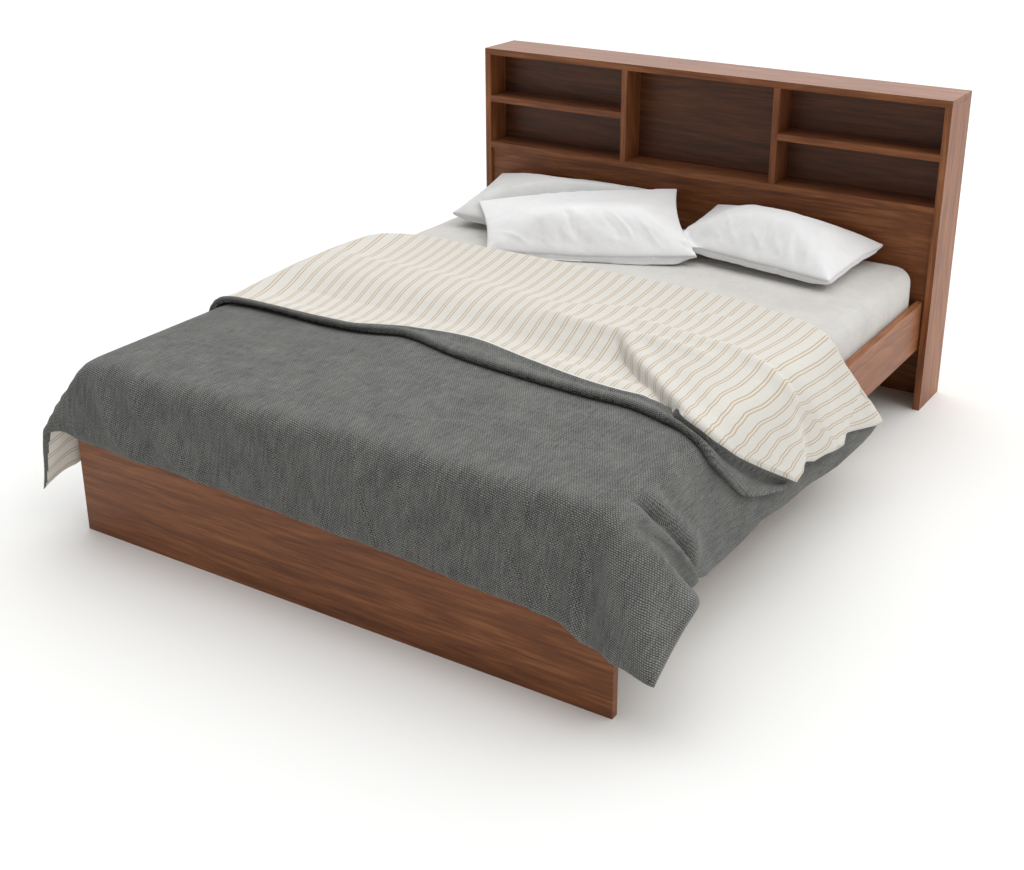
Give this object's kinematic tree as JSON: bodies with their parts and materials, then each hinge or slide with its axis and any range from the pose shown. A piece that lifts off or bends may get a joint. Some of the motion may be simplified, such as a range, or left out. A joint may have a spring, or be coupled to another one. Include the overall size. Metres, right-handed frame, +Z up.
{
  "type": "double bed",
  "caption": "Double bed with an open shelf headboard, panel rails and footboard, slatted base, mattress, pillows and a folded-back duvet.",
  "frame": {"origin": "middle of the overall box, on the floor", "axes": "+Z up, +Y towards the headboard, +X to the right of a viewer at the foot"},
  "size_m": [1.9068, 2.2958, 1.026],
  "materials": {
    "walnut": "satin",
    "beech": "matte",
    "steel": "satin",
    "glide_plastic": "matte",
    "webbing": "matte",
    "ticking": "matte",
    "sheet": "matte",
    "pillow_cotton": "matte",
    "duvet": "matte"
  },
  "bodies": {
    "root": {"headboard_side_left": "walnut", "headboard_side_right": "walnut", "headboard_top": "walnut", "main_shelf": "walnut", "divider_left": "walnut", "divider_right": "walnut", "niche_shelf_left": "walnut", "niche_shelf_right": "walnut", "niche_back": "walnut", "headboard_front_panel": "walnut", "headboard_rear_panel": "walnut", "headboard_dowels": "beech", "footboard": "walnut", "side_rail_left": "walnut", "side_rail_right": "walnut", "slat_ledge_left": "beech", "slat_ledge_right": "beech", "ledge_screws": "steel", "bracket_foot_left": "steel", "bracket_foot_right": "steel", "bracket_head_left": "steel", "bracket_head_right": "steel", "bracket_bolts": "steel", "centre_beam": "beech", "beam_hanger_foot": "steel", "beam_hanger_head": "steel", "hanger_screws": "steel", "centre_leg_foot": "beech", "centre_leg_head": "beech", "leg_bolts": "steel", "leg_glides": "glide_plastic", "slats_left": "beech", "slats_right": "beech", "slat_straps": "webbing", "mattress": "ticking", "fitted_sheet": "sheet", "pillow_back_left": "pillow_cotton", "pillow_front": "pillow_cotton", "pillow_right": "pillow_cotton", "duvet": "duvet"}
  },
  "joints": []
}
